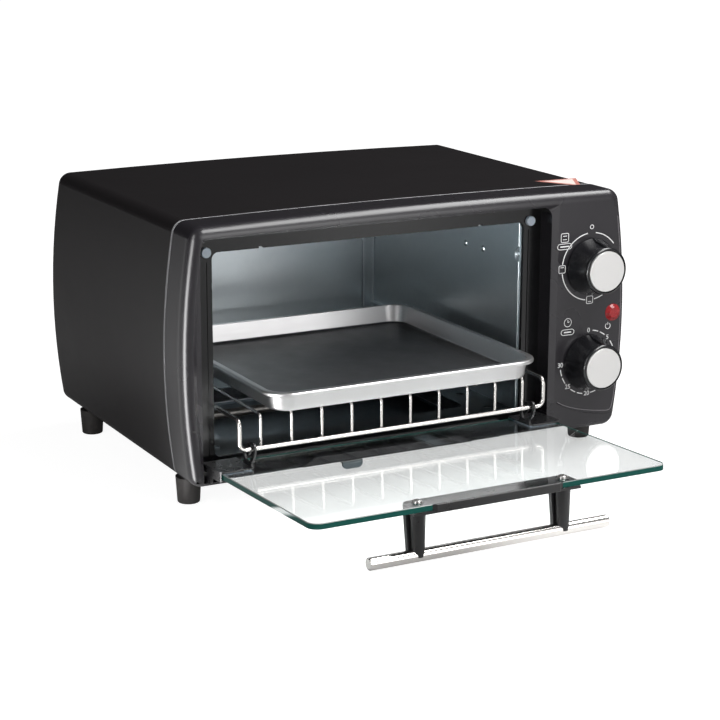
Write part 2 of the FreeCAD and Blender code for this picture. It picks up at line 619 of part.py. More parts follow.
def make_timer():
    """Clockwork timer in a steel case, with a bell on its back."""
    z = KNOB_HEIGHTS["timer"]
    y0 = PLATE_Y + SHEET + 0.1
    case = box(KNOB_X - 24, KNOB_X + 24, y0, y0 + 34, z - 22, z + 22)
    case = fillet(case, 3.0, lambda e: along(e, Y_AXIS))
    bush = cylinder(V(KNOB_X, y0 - 4, z), Y_AXIS, 5.0, 5)
    bore = cylinder(V(KNOB_X, y0 - 5, z), Y_AXIS, SHAFT_R + RUNNING_GAP, 21.5)
    post = cylinder(V(KNOB_X, y0 + 33.9, z), Y_AXIS, 2.5, 4)
    keep("timer_unit", fuse([case, bush, post]).cut(bore))
    bell_y = y0 + 38
    bell = cylinder(V(KNOB_X, bell_y, z), Y_AXIS, 18.0, 9)
    bell = fillet(bell, 6.0, lambda e: edge_at(e, "y", bell_y + 9))
    hollow = cylinder(V(KNOB_X, bell_y - 1, z), Y_AXIS, 17.0, 9)
    hollow = fillet(hollow, 5.4, lambda e: edge_at(e, "y", bell_y + 8))
    hub = cylinder(V(KNOB_X, bell_y, z), Y_AXIS, 3.2, 8.5)
    keep("timer_bell", fuse([bell.cut(hollow), hub]))


def make_lamp():
    """Red faceted lens with the neon holder behind it."""
    radius = 6.4
    facets = 12
    corners = [V(LAMP_X + radius * math.cos(2 * math.pi * i / facets), FRONT_Y - 0.2,
                 LAMP_Z + radius * math.sin(2 * math.pi * i / facets)) for i in range(facets)]
    inner = [V(LAMP_X + (p.x - LAMP_X) * 0.62, FRONT_Y - 2.2, LAMP_Z + (p.z - LAMP_Z) * 0.62)
             for p in corners]
    rim = cylinder(V(LAMP_X, FRONT_Y - 0.3, LAMP_Z), Y_AXIS, 6.6, 1.5)
    crown = Part.makeLoft([Part.makePolygon(corners + corners[:1]),
                           Part.makePolygon(inner + inner[:1])], True, True)
    stem = cylinder(V(LAMP_X, FRONT_Y, LAMP_Z), Y_AXIS, 5.4, 6)
    keep("lamp_lens", fuse([crown, rim, stem]))
    holder = cylinder(V(LAMP_X, FRONT_Y + 6.1, LAMP_Z), Y_AXIS, 4.6, 12.2)
    wires = [cylinder(V(LAMP_X - 1.5, FRONT_Y + 18, LAMP_Z + dz), Y_AXIS, 0.6, 8)
             for dz in (-1.2, 1.2)]
    keep("lamp_holder", fuse([holder] + wires))


def make_electrics():
    """Thermal cut-out on the heat shield, terminal block and the internal leads."""
    shield_x = CAVITY_X + CAVITY_HALF + 5.6
    disc = cylinder(V(shield_x + 0.1, 20, 112), X_AXIS, 8.0, 7)
    ears = box(shield_x + 0.1, shield_x + 0.9, 8, 32, 108, 116)
    keep("thermal_cutout", fuse([disc, ears]))
    low = SHEET_FLOOR_Z + SHEET
    block = box(124, 152, 84, 102, low + 0.1, low + 14)
    for i in range(3):
        x = 129.5 + i * 8.5
        block = block.cut(cylinder(V(x, 93, low + 9), Z_AXIS, 2.4, 8))
        block = block.cut(cylinder(V(x, 80, low + 8), Y_AXIS, 1.6, 30))
    keep("terminal_block", block)
    top = low + 8
    switch_y = PLATE_Y + SHEET + 27.2
    switch_z = KNOB_HEIGHTS["function"]
    routes = [
        [V(129.5, 83.9, top), V(129.5, 50, top), V(124, 50, 140), V(141, 10, 163),
         V(141, switch_y + 22, switch_z), V(141, switch_y, switch_z)],
        [V(138, 83.9, top), V(138, 60, top), V(160, 30, 50), V(160, -40, 120),
         V(150, switch_y + 22, switch_z), V(150, switch_y, switch_z)],
        [V(146.5, 83.9, top), V(146.5, 70, top), V(168, 40, 60), V(168, -20, 170),
         V(159, switch_y + 22, switch_z), V(159, switch_y, switch_z)],
    ]
    keep("internal_leads", Part.makeCompound([bent_rod(route, 1.3, 7.0) for route in routes]))


# ---------------------------------------------------------------- door
def on_door(shape):
    """Turn a piece that is modelled with the door level, and move it to the hinge."""
    shape.rotate(V(0, 0, 0), X_AXIS, -OPEN_ANGLE)
    shape.translate(V(CAVITY_X, HINGE_Y, HINGE_Z))
    return shape


def make_glass():
    """Tempered pane.  Door pieces are modelled level, reaching from the axis towards -Y."""
    front = -(GLASS_REAR + GLASS_LENGTH)
    pane = box(-GLASS_HALF, GLASS_HALF, front, -GLASS_REAR, GLASS_LOW, GLASS_HIGH)
    pane = fillet(pane, 8.0, lambda e: along(e, Z_AXIS) and edge_at(e, "y", front))
    for side in (-1, 1):
        x = side * POST_SPACING / 2
        pane = pane.cut(cylinder(V(x, -POST_OUT, GLASS_LOW - 1), Z_AXIS, 2.6, 6))
    pane = pane.makeChamfer(0.5, [e for e in pane.Edges if edge_at(e, "z", GLASS_HIGH)
                                  and e.BoundBox.DiagonalLength > 10])
    keep("door_glass", on_door(pane))


def slot_path(samples):
    """Where the rack's front bar lies in the level door's frame as the door closes."""
    swing = 90.0 - OPEN_ANGLE
    places = []
    for i in range(samples + 1):
        share = i / samples
        raised = math.radians(OPEN_ANGLE + swing * share)
        back = RACK_FRONT_Y + RACK_TRAVEL * share - HINGE_Y
        up = RACK_DROP_Z - HINGE_Z
        out = -back * math.cos(raised) + up * math.sin(raised)
        above = back * math.sin(raised) + up * math.cos(raised)
        places.append((out, above))
    return places


def capsules(places, radius, x, thickness):
    """A strip of this radius along a path, as a plate square to X."""
    pieces = []
    for (u0, w0), (u1, w1) in zip(places, places[1:]):
        pieces.append(cylinder(V(x, -u0, w0), X_AXIS, radius, thickness))
        length = math.hypot(u1 - u0, w1 - w0)
        side_u, side_w = radius * (w1 - w0) / length, -radius * (u1 - u0) / length
        pieces.append(prism([V(x, -(u0 + side_u), w0 + side_w), V(x, -(u1 + side_u), w1 + side_w),
                             V(x, -(u1 - side_u), w1 - side_w), V(x, -(u0 - side_u), w0 - side_w)],
                            V(thickness, 0, 0)))
    last_u, last_w = places[-1]
    pieces.append(cylinder(V(x, -last_u, last_w), X_AXIS, radius, thickness))
    return fuse(pieces)


def hinge_bracket():
    """Left bracket: a folded clip round the glass corner, a pivot ear and the rack arm."""
    steel = 1.2
    pad = 0.4
    outer_x = -(GLASS_HALF + 0.9)
    inner_x = outer_x + 25.0
    reach = 29.0
    low, high = GLASS_LOW - pad - steel, GLASS_HIGH + pad + steel
    rear = GLASS_REAR - 0.4
    clip = box(outer_x - steel, inner_x, -reach, -rear + steel, low, high)
    clip = fillet(clip, 4.0, lambda e: along(e, Z_AXIS) and edge_at(e, "y", -reach))
    clip = clip.cut(box(outer_x, inner_x + 1, -reach - 1, -rear, low + steel, high - steel))
    ear = box(outer_x - steel, outer_x, -14, 4.2, -5.0, high)
    ear = fillet(ear, 4.5, lambda e: along(e, X_AXIS) and e.BoundBox.ZMax < 0)
    arm_x = inner_x - 1.5
    route = slot_path(12)
    arm = capsules(route, FRAME_WIRE_R + 0.6 + 2.6, arm_x, 1.5)
    neck_u = min(place[0] for place in route)
    neck = prism([V(arm_x, -(neck_u - 5.5), high - steel), V(arm_x, -(neck_u + 9.5), high - steel),
                  V(arm_x, -(neck_u + 6.0), high + 8), V(arm_x, -(neck_u - 2.5), high + 6)],
                 V(1.5, 0, 0))
    slot = capsules(route, FRAME_WIRE_R + 0.6, arm_x - 1, 3.5)
    return fuse([clip, ear, arm, neck]).cut(slot)


def make_door_hardware():
    pin_length = 9.0
    left = hinge_bracket()
    right = left.mirror(V(0, 0, 0), X_AXIS)
    pin_x = GLASS_HALF + 0.9
    pins = []
    pads = []
    for side in (-1, 1):
        start = V(-pin_x - pin_length, 0, 0) if side < 0 else V(pin_x, 0, 0)
        pins.append(cylinder(start, X_AXIS, HINGE_PIN_R, pin_length))
        x0 = side * (GLASS_HALF - 12) - 11
        for w in (GLASS_LOW - 0.35, GLASS_HIGH + 0.05):
            pads.append(box(x0, x0 + 22, -27, -2, w, w + 0.3))
    hole_r = HINGE_PIN_R + 0.01
    hole = Part.makeCompound([cylinder(V(-pin_x - 5, 0, 0), X_AXIS, hole_r, 5.5),
                              cylinder(V(pin_x - 0.5, 0, 0), X_AXIS, hole_r, 5.5)])
    keep("hinge_bracket_left", on_door(left.cut(hole)))
    keep("hinge_bracket_right", on_door(right.cut(hole)))
    keep("hinge_pins", on_door(Part.makeCompound(pins)))
    keep("glass_pads", on_door(Part.makeCompound(pads)))


def handle_post(x):
    """A tapering post down to the rod: a round column in front of a wider, flat web."""
    def section(w, across, deep):
        radius = 0.36 * across
        web_front = -POST_OUT + deep / 2 - POST_WEB
        column = -POST_OUT - deep / 2 + radius
        root = math.sqrt(radius ** 2 - (web_front - column) ** 2)
        web = [V(x - root, web_front, w), V(x - across / 2, web_front, w),
               V(x - across / 2, web_front + POST_WEB, w), V(x + across / 2, web_front + POST_WEB, w),
               V(x + across / 2, web_front, w), V(x + root, web_front, w)]
        front = Part.Arc(web[-1], V(x, column - radius, w), web[0]).toShape()
        return Part.Wire([Part.makePolygon(web), front])
    return Part.makeLoft([section(ROD_DROP - 0.5, 12.4, 9.4), section(HANDLE_LOW + 0.8, 15.0, 12.0)],
                         True, True)


def make_handle():
    """Moulded base bar with two posts, the rod with its end caps, and the fixings."""
    half_bar = POST_SPACING / 2 + 8.0
    top = GLASS_LOW - 0.15
    front = -(GLASS_REAR + GLASS_LENGTH)
    bar = box(-half_bar, half_bar, front - 1.0, -POST_OUT + 9.5, HANDLE_LOW, top)
    bar = fillet(bar, 6.5, lambda e: along(e, Z_AXIS) and edge_at(e, "y", -POST_OUT + 9.5))
    half_lip = POST_SPACING / 2 - 9.0
    lip_front = front - 1.5
    lip = prism([V(-half_lip - 3, front - 0.2, HANDLE_LOW), V(half_lip + 3, front - 0.2, HANDLE_LOW),
                 V(half_lip, lip_front, HANDLE_LOW), V(-half_lip, lip_front, HANDLE_LOW)],
                V(0, 0, GLASS_HIGH + 0.2 - HANDLE_LOW))
    lip = fillet(lip, 0.9, lambda e: edge_at(e, "y", lip_front) and along(e, X_AXIS))
    posts = [handle_post(side * POST_SPACING / 2) for side in (-1, 1)]
    rod_hole = cylinder(V(-100, -POST_OUT, ROD_DROP), X_AXIS, ROD_R + 0.02, 200)
    bracket = fuse([bar, lip] + posts).cut(rod_hole)
    screws, washers, pilots = [], [], []
    washer_high = 0.4
    for side in (-1, 1):
        x = side * POST_SPACING / 2
        base = GLASS_HIGH + 0.05
        washer = cylinder(V(x, -POST_OUT, base), Z_AXIS, HANDLE_SCREW_HEAD_R + 0.7, washer_high)
        washers.append(washer.cut(cylinder(V(x, -POST_OUT, base - 1), Z_AXIS, 2.2, 3)))
        head_high = 1.2
        head_top = base + washer_high + head_high
        head = cylinder(V(x, -POST_OUT, base + washer_high), Z_AXIS, HANDLE_SCREW_HEAD_R, head_high)
        head = fillet(head, 0.7, lambda e, z=head_top: edge_at(e, "z", z))
        for long_x, long_y in ((2.1, 0.45), (0.45, 2.1)):
            head = head.cut(box(x - long_x, x + long_x, -POST_OUT - long_y, -POST_OUT + long_y,
                                head_top - 0.7, head_top + 1))
        shank = cylinder(V(x, -POST_OUT, base - 18), Z_AXIS, 2.0, 18.1 + washer_high)
        screws.append(fuse([head, shank]))
        pilots.append(cylinder(V(x, -POST_OUT, base - 18.5), Z_AXIS, 2.02, 20))
    keep("handle_bracket", on_door(bracket.cut(Part.makeCompound(pilots))))
    keep("handle_screws", on_door(Part.makeCompound(screws)))
    keep("handle_washers", on_door(Part.makeCompound(washers)))
    cap = 5.0
    tube_half = ROD_LENGTH / 2 - cap
    tube = cylinder(V(-tube_half, -POST_OUT, ROD_DROP), X_AXIS, ROD_R, 2 * tube_half)
    bore = cylinder(V(-tube_half - 1, -POST_OUT, ROD_DROP), X_AXIS, ROD_R - 1.0, 2 * tube_half + 2)
    keep("handle_rod", on_door(tube.cut(bore)))
    caps = []
    for side in (-1, 1):
        end = side * tube_half
        cover = cylinder(V(end, -POST_OUT, ROD_DROP), V(side, 0, 0), ROD_R, cap)
        cover = fillet(cover, 0.9, lambda e, x=end + side * cap: edge_at(e, "x", x))
        plug = cylinder(V(end, -POST_OUT, ROD_DROP), V(-side, 0, 0), ROD_R - 1.05, 8)
        caps.append(fuse([cover, plug]))
    keep("handle_caps", on_door(Part.makeCompound(caps)))


def make_hinge_lugs():
    """Steel lugs behind the recess walls, in which the hinge pins turn."""
    for side, name in ((-1, "left"), (1, "right")):
        x0 = lug_middle(side) - LUG_SHEET / 2
        x1 = lug_middle(side) + LUG_SHEET / 2
        lug = box(x0, x1, HINGE_Y - 5, PLATE_Y - 0.05, HINGE_Z - 4.8, HINGE_Z + 8)
        lug = fillet(lug, 3.0, lambda e: along(e, X_AXIS) and e.BoundBox.YMax < HINGE_Y)
        tab = box(x0, x1, PLATE_Y - 1, PLATE_Y + SHEET + 2, HINGE_Z - 3, HINGE_Z + 6)
        bore = cylinder(V(x0 - 1, HINGE_Y, HINGE_Z), X_AXIS, HINGE_PIN_R + RUNNING_GAP, 4)
        keep("hinge_lug_" + name, fuse([lug, tab]).cut(bore))


def make_bumpers():
    """Soft stops in the recess's top corners that the closed glass meets."""
    stops = []
    for side in (-1, 1):
        x = CAVITY_X + side * 130.8
        stop = cylinder(V(x, RECESS_FLOOR_Y - 2.7, 182.2), Y_AXIS, 3.6, 2.7)
        stops.append(fillet(stop, 0.6, lambda e: edge_at(e, "y", RECESS_FLOOR_Y - 2.7)))
    keep("door_bumpers", Part.makeCompound(stops))


# ---------------------------------------------------------------- rack and trays
def make_rack():
    """Wire rack: a frame wire dropped at the front, grid wires and cross bars."""
    left, right = CAVITY_X - RACK_HALF, CAVITY_X + RACK_HALF
    frame = bent_rod([
        V(left, RACK_REAR_Y, RACK_Z), V(left, RACK_FRONT_Y, RACK_Z),
        V(left, RACK_FRONT_Y, RACK_DROP_Z), V(right, RACK_FRONT_Y, RACK_DROP_Z),
        V(right, RACK_FRONT_Y, RACK_Z), V(right, RACK_REAR_Y, RACK_Z)], FRAME_WIRE_R, 5.0)
    pieces = [frame]
    sink = 0.4
    grid_z = RACK_Z + CROSS_WIRE_R + GRID_WIRE_R - sink
    drop_y = RACK_FRONT_Y + FRAME_WIRE_R + GRID_WIRE_R - sink
    for y in (-30.0, 20.0, RACK_REAR_Y - 1.6):
        pieces.append(cylinder(V(left, y, RACK_Z), X_AXIS, CROSS_WIRE_R, right - left))
    count = 10
    spacing = 23.6
    for i in range(count):
        x = CAVITY_X + (i - (count - 1) / 2) * spacing
        pieces.append(bent_rod([
            V(x, RACK_REAR_Y, grid_z), V(x, drop_y, grid_z), V(x, drop_y, RACK_DROP_Z - 0.8)],
            GRID_WIRE_R, 4.0))
    rack = fuse(pieces)
    split_y = RACK_FRONT_Y + 7
    front = box(left - 10, right + 10, RACK_FRONT_Y - 10, split_y, 0, 200)
    keep("wire_rack", rack.cut(front))
    keep("rack_front", rack.common(front))


def make_baking_tray():
    """Pressed tray with steep walls, a rolled rim and a shallow raised panel in its floor."""
    wall = 0.8
    slope = 2.6
    rim = 4.2
    roll = 3.1
    panel_inset = rim + slope + 11.0
    panel_rise = 0.6

    def slab(grow, z):
        block = rounded_slab(TRAY_X - TRAY_HALF + grow, TRAY_X + TRAY_HALF - grow,
                             TRAY_FRONT_Y + grow, TRAY_BACK_Y - grow, z, z + 1,
                             max(20.0 - grow, 6.0))
        return next(f.OuterWire for f in block.Faces if edge_at(f, "z", z))

    outer = Part.makeLoft([slab(rim + slope, TRAY_LOW), slab(rim, TRAY_HIGH)], True, True)
    inner = Part.makeLoft([slab(rim + slope + wall, TRAY_LOW + wall),
                           slab(rim + wall - 0.2, TRAY_HIGH + 0.4)], True, True)
    outer = fillet(outer, 2.6, lambda e: edge_at(e, "z", TRAY_LOW))
    inner = fillet(inner, 2.2, lambda e: edge_at(e, "z", TRAY_LOW + wall))
    rolled = Part.Face(slab(0.0, TRAY_HIGH - roll)).extrude(V(0, 0, roll))
    rolled = fillet(rolled, 1.4, lambda e: edge_at(e, "z", TRAY_HIGH))
    rolled = fillet(rolled, 0.9, lambda e: edge_at(e, "z", TRAY_HIGH - roll))
    under_rim = Part.Face(slab(2.0, TRAY_HIGH - roll - 1)).extrude(V(0, 0, roll + 1 - wall))
    panel_low = TRAY_LOW + wall - 0.1
    panel = Part.makeLoft([slab(panel_inset, panel_low),
                           slab(panel_inset + 1.8, panel_low + panel_rise + 0.1)], True, True)
    under_panel = Part.makeLoft([slab(panel_inset + 0.6, TRAY_LOW - 0.1),
                                 slab(panel_inset + 2.4, TRAY_LOW + panel_rise)], True, True)
    tray = fuse([outer, rolled.cut(under_rim)]).cut(inner)
    keep("baking_tray", fuse([tray, panel]).cut(under_panel))


def make_crumb_tray():
    """Low tray under the cavity with a pull tab, and the two rails that carry it."""
    half = 112.0
    front, rear = -112.0, 72.0
    low, high = 14.6, BASE_Z - 0.5
    body = rounded_slab(CAVITY_X - half, CAVITY_X + half, front, rear, low, high, 3.0)
    inside = rounded_slab(CAVITY_X - half + 0.8, CAVITY_X + half - 0.8, front + 0.8, rear - 0.8,
                          low + 0.8, high + 1, 2.2)
    tab_x = -49.6
    tongue = box(tab_x - 8, tab_x + 8, front - 12, front + 1, high - 1.4, high)
    pull = box(tab_x - 8, tab_x + 8, front - 13.5, front - 11.5, 12.8, high)
    pull = fillet(pull, 3.6, lambda e: along(e, Y_AXIS) and e.BoundBox.ZMax < 13)
    keep("crumb_tray", fuse([body.cut(inside), tongue, pull]))
    pan_low = SHEET_FLOOR_Z
    for side, name in ((-1, "left"), (1, "right")):
        x = CAVITY_X + side * (half + 0.6)
        web = box(min(x, x + side * 1.0), max(x, x + side * 1.0), -90, 74, low - 1.3, pan_low)
        lip = box(min(x - side * 4, x + side), max(x - side * 4, x + side), -90, 74,
                  low - 1.3, low - 0.3)
        flange = box(min(x, x + side * 7), max(x, x + side * 7), -90, 74, pan_low - 0.9, pan_low)
        keep("crumb_rail_" + name, fuse([web, lip, flange]))


# ---------------------------------------------------------------- build
def main():
    os.makedirs("parts", exist_ok=True)
    make_outer_shell()
    make_front_bezel()
    make_front_plate()
    make_bottom_pan()
    make_back_panel()
    make_cord_gland()
    make_back_screws()
    make_feet()
    make_cavity()
    make_heat_shield()
    make_heaters()
    make_knobs()
    make_function_switch()
    make_timer()
    make_lamp()
    make_electrics()
    make_glass()
    make_door_hardware()
    make_handle()
    make_hinge_lugs()
    make_bumpers()
    make_rack()
    make_baking_tray()
    make_crumb_tray()
    for name, shape in PARTS.items():
        shape.exportStep(os.path.join("parts", name + ".step"))
        print(name, "solids", len(shape.Solids), "valid", shape.isValid(),
              "volume_cm3", round(shape.Volume / 1000, 2))


main()
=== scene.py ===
import json
import math

import bmesh
import bpy
from mathutils import Matrix, Vector


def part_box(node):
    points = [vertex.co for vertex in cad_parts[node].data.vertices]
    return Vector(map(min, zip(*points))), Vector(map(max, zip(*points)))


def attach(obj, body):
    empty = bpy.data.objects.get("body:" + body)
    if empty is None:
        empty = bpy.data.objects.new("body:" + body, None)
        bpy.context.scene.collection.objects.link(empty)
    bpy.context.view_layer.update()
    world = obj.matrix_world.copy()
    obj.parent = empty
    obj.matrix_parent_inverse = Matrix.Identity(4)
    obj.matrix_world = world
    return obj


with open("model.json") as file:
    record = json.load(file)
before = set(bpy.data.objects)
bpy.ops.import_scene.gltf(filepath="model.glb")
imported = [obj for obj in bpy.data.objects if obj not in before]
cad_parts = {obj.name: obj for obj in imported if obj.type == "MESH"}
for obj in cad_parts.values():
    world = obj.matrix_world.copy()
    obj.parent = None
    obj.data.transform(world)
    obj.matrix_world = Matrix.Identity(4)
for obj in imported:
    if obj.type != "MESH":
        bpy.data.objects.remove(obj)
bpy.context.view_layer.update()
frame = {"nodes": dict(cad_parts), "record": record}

# A compact toaster oven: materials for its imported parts, the print on its dials, and the studio.
# Every length is in metres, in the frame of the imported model: +Z up, the front faces -Y.

MM = 0.001


# ---------------------------------------------------------------- camera
CAMERA_AZIMUTH = math.radians(-28.09)
CAMERA_ELEVATION = math.radians(14.58)
CAMERA_ROLL = math.radians(0.22)
CAMERA_PLACE = Vector((-0.6845, -1.3252, 0.4495))
CAMERA_LENS = 98.64


def make_camera():
    level = math.cos(CAMERA_ELEVATION)
    forward = Vector((-math.sin(CAMERA_AZIMUTH) * level, math.cos(CAMERA_AZIMUTH) * level,
                      -math.sin(CAMERA_ELEVATION)))
    right = forward.cross(Vector((0, 0, 1))).normalized()
    up = right.cross(forward)
    turn = Matrix.Rotation(-CAMERA_ROLL, 4, forward)
    right = turn @ right
    up = turn @ up
    data = bpy.data.cameras.new("photo_camera")
    data.lens = CAMERA_LENS
    data.sensor_width = 36.0
    data.clip_end = 50.0
    camera = bpy.data.objects.new("photo_camera", data)
    bpy.context.scene.collection.objects.link(camera)
    axes = Matrix((right, up, -forward)).transposed()
    camera.matrix_world = Matrix.Translation(CAMERA_PLACE) @ axes.to_4x4()
    bpy.context.scene.camera = camera


make_camera()


# ---------------------------------------------------------------- material helpers
class Finish:
    """A Principled material whose colour, roughness and relief are built up from nodes."""

    def __init__(self, name, colour, roughness, metallic=0.0, **sockets):
        self.material = bpy.data.materials.new(name)
        self.material.use_nodes = True
        self.nodes = self.material.node_tree.nodes
        self.links = self.material.node_tree.links
        self.shader = self.nodes["Principled BSDF"]
        self.shader.inputs["Base Color"].default_value = (*colour, 1.0)
        self.shader.inputs["Roughness"].default_value = roughness
        self.shader.inputs["Metallic"].default_value = metallic
        for socket, value in sockets.items():
            self.shader.inputs[socket.replace("_", " ")].default_value = value
        self.place = self.nodes.new("ShaderNodeTexCoord").outputs["Object"]
        self.colour = None
        self.relief = None

    def stretched(self, stretch):
        """Object coordinates, stretched: a small factor draws the pattern out along that axis."""
        mapping = self.nodes.new("ShaderNodeMapping")
        mapping.inputs["Scale"].default_value = stretch
        self.links.new(self.place, mapping.inputs["Vector"])
        return mapping.outputs["Vector"]

    def noise(self, scale, detail=3.0, stretch=(1, 1, 1), rough=0.5):
        node = self.nodes.new("ShaderNodeTexNoise")
        node.inputs["Scale"].default_value = scale
        node.inputs["Detail"].default_value = detail
        node.inputs["Roughness"].default_value = rough
        self.links.new(self.stretched(stretch), node.inputs["Vector"])
        return node.outputs["Fac"]

    def cells(self, scale, stretch=(1, 1, 1)):
        """A random shade for each cell of a Voronoi pattern, as in zinc spangle."""
        node = self.nodes.new("ShaderNodeTexVoronoi")
        node.inputs["Scale"].default_value = scale
        self.links.new(self.stretched(stretch), node.inputs["Vector"])
        shade = self.nodes.new("ShaderNodeSeparateColor")
        self.links.new(node.outputs["Color"], shade.inputs["Color"])
        return shade.outputs["Red"]

    def span(self, factor, low, high, start=0.0, end=1.0):
        """Factor, stretched from start..end onto low..high."""
        node = self.nodes.new("ShaderNodeMapRange")
        node.inputs["From Min"].default_value = start
        node.inputs["From Max"].default_value = end
        node.inputs["To Min"].default_value = low
        node.inputs["To Max"].default_value = high
        self.links.new(factor, node.inputs["Value"])
        return node.outputs["Result"]

    def along(self, axis, low, high):
        """0 before low and 1 after high, in metres along an axis."""
        split = self.nodes.new("ShaderNodeSeparateXYZ")
        self.links.new(self.place, split.inputs["Vector"])
        return self.span(split.outputs[axis], 0.0, 1.0, low, high)

    def inside(self, low, high, blur):
        """1 inside the box from low to high and 0 outside it."""
        mask = None
        for axis, start, end in zip("XYZ", low, high):
            for edge, sign in ((start, 1), (end, -1)):
                side = self.along(axis, edge - sign * blur, edge)
                mask = side if mask is None else self.both(mask, side)
        return mask

    def tint(self, factor, colour):
        """Blends towards another colour by factor."""
        mix = self.nodes.new("ShaderNodeMix")
        mix.data_type = "RGBA"
        before = self.shader.inputs["Base Color"]
        if self.colour is None:
            mix.inputs[6].default_value = before.default_value
        else:
            self.links.new(self.colour, mix.inputs[6])
        mix.inputs[7].default_value = (*colour, 1.0)
        self.links.new(factor, mix.inputs[0])
        self.colour = mix.outputs[2]
        self.links.new(self.colour, before)
        return self

    def both(self, first, second):
        node = self.nodes.new("ShaderNodeMath")
        node.operation = "MULTIPLY"
        self.links.new(first, node.inputs[0])
        self.links.new(second, node.inputs[1])
        return node.outputs["Value"]

    def mixed(self, factor, first, second):
        """The first value where factor is 0, the second where it is 1."""
        node = self.nodes.new("ShaderNodeMix")
        self.links.new(factor, node.inputs["Factor"])
        self.links.new(first, node.inputs["A"])
        self.links.new(second, node.inputs["B"])
        return node.outputs["Result"]

    def gloss(self, factor, low, high, start=0.3, end=0.7):
        """Roughness that runs from low to high with factor."""
        self.links.new(self.span(factor, low, high, start, end), self.shader.inputs["Roughness"])
        return self

    def bump(self, factor, depth, strength=1.0):
        """Relief of this depth in metres."""
        node = self.nodes.new("ShaderNodeBump")
        node.inputs["Distance"].default_value = depth
        node.inputs["Strength"].default_value = strength
        self.links.new(factor, node.inputs["Height"])
        if self.relief is not None:
            self.links.new(self.relief, node.inputs["Normal"])
        self.relief = node.outputs["Normal"]
        self.links.new(self.relief, self.shader.inputs["Normal"])
        return self


# ---------------------------------------------------------------- materials
# The box round the frame's door recess, inside which the moulding is tinted near-black and made
# glossier.
RECESS_LOW = (-0.1675, -0.1275, 0.0240)
RECESS_HIGH = (0.1135, -0.1000, 0.1930)
FOLD_HIGHLIGHT_FADE = 1.2 * MM       # the wrapper's front fold, over which the painted highlight fades in
FOLD_HIGHLIGHT_FULL = 0.5 * MM
TRAY_COAT_DEPTH = 2.4 * MM  # the tray's dark coat reaches this far above its underside
GLASS_TILT = math.radians(2.5)


def shell_paint():
    """Satin, warm black enamel with a faint orange peel, and a pale band painted on the folded front
    edge as a highlight.
    """
    paint = Finish("shell_paint", (0.0120, 0.0106, 0.0114), 0.30, IOR=1.5, Specular_IOR_Level=0.17)
    paint.tint(paint.span(paint.noise(9.0), 0.0, 0.5, 0.35, 0.7), (0.0142, 0.0127, 0.0136))
    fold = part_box("outer_shell")[0].y
    # painted highlight: a pale band along the front fold stands in for the light that the hem's
    # rounded edge reflects
    paint.tint(paint.along("Y", fold + FOLD_HIGHLIGHT_FADE, fold + FOLD_HIGHLIGHT_FULL), (0.26, 0.26, 0.27))
    paint.gloss(paint.noise(30.0), 0.29, 0.33)
    paint.bump(paint.noise(900.0, 2.0), 0.00002, 0.35)
    paint.bump(paint.noise(4200.0, 2.0), 0.00001, 0.35)
    return paint.material


def frame_plastic():
    """Charcoal moulding with a fine spark-eroded grain; inside its door recess it is tinted near-black
    and made glossier.
    """
    plastic = Finish("frame_plastic", (0.0165, 0.0150, 0.0180), 0.26, IOR=1.5)
    plastic.tint(plastic.span(plastic.noise(14.0), 0.0, 0.5, 0.35, 0.7), (0.0180, 0.0165, 0.0195))
    recess = plastic.inside(RECESS_LOW, RECESS_HIGH, 0.8 * MM)
    plastic.tint(recess, (0.004, 0.004, 0.0045))
    grain = plastic.span(plastic.noise(20.0), 0.26, 0.28, 0.3, 0.7)
    shine = plastic.span(plastic.noise(20.0), 0.16, 0.18, 0.3, 0.7)
    plastic.links.new(plastic.mixed(recess, grain, shine), plastic.shader.inputs["Roughness"])
    plastic.bump(plastic.noise(900.0, 3.0), 0.000005, 0.3)
    return plastic.material


def handle_plastic():
    plastic = Finish("handle_plastic", (0.006, 0.006, 0.0065), 0.30, IOR=1.5)
    plastic.gloss(plastic.noise(120.0), 0.26, 0.36)
    plastic.bump(plastic.noise(2600.0, 3.0), 0.000012, 0.35)
    return plastic.material


def knob_plastic():
    plastic = Finish("knob_plastic", (0.0085, 0.0085, 0.010), 0.2, IOR=1.5)
    plastic.gloss(plastic.noise(200.0), 0.17, 0.25)
    plastic.bump(plastic.noise(1500.0, 2.0), 0.000006, 0.3)
    return plastic.material


def knob_disc():
    """Turned aluminium insert: satin, with a fine noise grain."""
    disc = Finish("knob_disc", (0.66, 0.65, 0.64), 0.36, metallic=0.35)
    disc.tint(disc.span(disc.noise(160.0), 0.0, 0.35), (0.61, 0.605, 0.60))
    disc.gloss(disc.noise(500.0), 0.30, 0.40)
    disc.bump(disc.noise(2500.0, 2.0), 0.000006, 0.4)
    return disc.material


def zinc_sheet(name, light, dark, rough_low, rough_high, spangle):
    """Coated steel sheet: cool grey, with faint spangle, a fine grain and faint draw lines."""
    sheet = Finish(name, dark, rough_low, metallic=1.0)
    sheet.tint(sheet.span(sheet.cells(230.0), 0.0, spangle, 0.1, 0.9), light)
    sheet.tint(sheet.span(sheet.noise(1300.0, 4.0), 0.0, 0.35, 0.4, 0.65), dark)
    sheet.gloss(sheet.noise(300.0), rough_low, rough_high)
    sheet.bump(sheet.noise(1500.0, 3.0, stretch=(1, 1, 0.4)), 0.00001, 0.3)
    return sheet.material


def plated_steel():
    plate = Finish("plated_steel", (0.62, 0.61, 0.59), 0.25, metallic=1.0)
    plate.tint(plate.span(plate.noise(90.0), 0.0, 0.5), (0.52, 0.52, 0.52))
    plate.gloss(plate.noise(400.0), 0.2, 0.34)
    return plate.material


def bracket_paint():
    paint = Finish("bracket_paint", (0.014, 0.014, 0.015), 0.28, IOR=1.5)
    paint.gloss(paint.noise(200.0), 0.24, 0.36)
    paint.bump(paint.noise(1200.0, 2.0), 0.00001, 0.4)
    return paint.material


